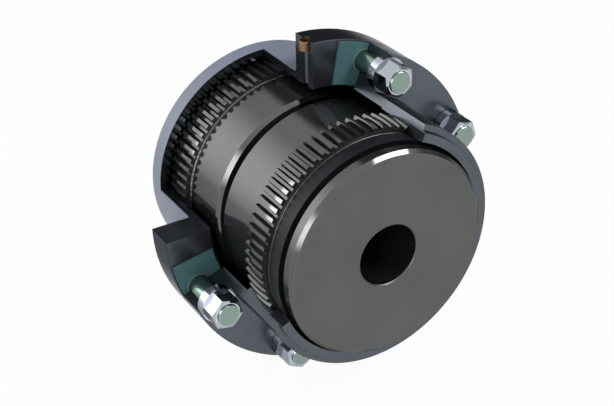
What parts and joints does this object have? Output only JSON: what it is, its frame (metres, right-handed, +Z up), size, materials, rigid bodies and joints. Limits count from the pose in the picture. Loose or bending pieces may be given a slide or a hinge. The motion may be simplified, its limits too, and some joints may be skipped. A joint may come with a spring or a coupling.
{
  "type": "gear coupling",
  "caption": "Flanged gear coupling cut open for display: two bored hubs with crowned teeth inside bolted sleeves, with a gasket, end rings, seals and collar nuts.",
  "frame": {"origin": "on the shaft axis, midway between the two flanges' mating faces, which is the centre of the bounding box", "axes": "Y along the shaft axis, with the front hub at -Y and the rear hub at +Y; +Z up; +X to the right when seen from the front"},
  "size_m": [0.237, 0.185, 0.237],
  "materials": {
    "hub_steel": "turned steel with a fine machined grain",
    "sleeve_steel": "machined steel, smooth",
    "ring_steel": "machined steel, smooth",
    "seal_rubber": "dark synthetic rubber",
    "gasket": "teal fibre sheet",
    "bolt_steel": "plated steel with a pale green tint",
    "nut_steel": "bright plated steel",
    "plug_copper": "dull copper alloy"
  },
  "bodies": {
    "sleeves": {"front_sleeve": "sleeve_steel", "rear_sleeve": "sleeve_steel", "flange_gasket": "gasket", "front_end_ring": "ring_steel", "rear_end_ring": "ring_steel", "flange_bolt_1": "bolt_steel", "flange_bolt_2": "bolt_steel", "flange_bolt_3": "bolt_steel", "flange_bolt_4": "bolt_steel", "flange_bolt_5": "bolt_steel", "flange_bolt_6": "bolt_steel", "collar_nut_1": "nut_steel", "collar_nut_2": "nut_steel", "collar_nut_3": "nut_steel", "collar_nut_4": "nut_steel", "collar_nut_5": "nut_steel", "collar_nut_6": "nut_steel", "rear_top_plug": "plug_copper", "rear_bottom_plug": "plug_copper", "front_bottom_plug": "plug_copper"},
    "front_hub": {"front_hub": "hub_steel", "front_seal": "seal_rubber"},
    "rear_hub": {"rear_hub": "hub_steel", "rear_seal": "seal_rubber"}
  },
  "joints": [
    {"name": "front_hub_tilt", "type": "hinge", "parent": "sleeves", "child": "front_hub", "pos_m": [0, -0.0548, 0], "axis": [1, 0, 0], "range_deg": [-0.75, 0.75]},
    {"name": "rear_hub_tilt", "type": "hinge", "parent": "sleeves", "child": "rear_hub", "pos_m": [0, 0.0548, 0], "axis": [1, 0, 0], "range_deg": [-0.75, 0.75]}
  ]
}
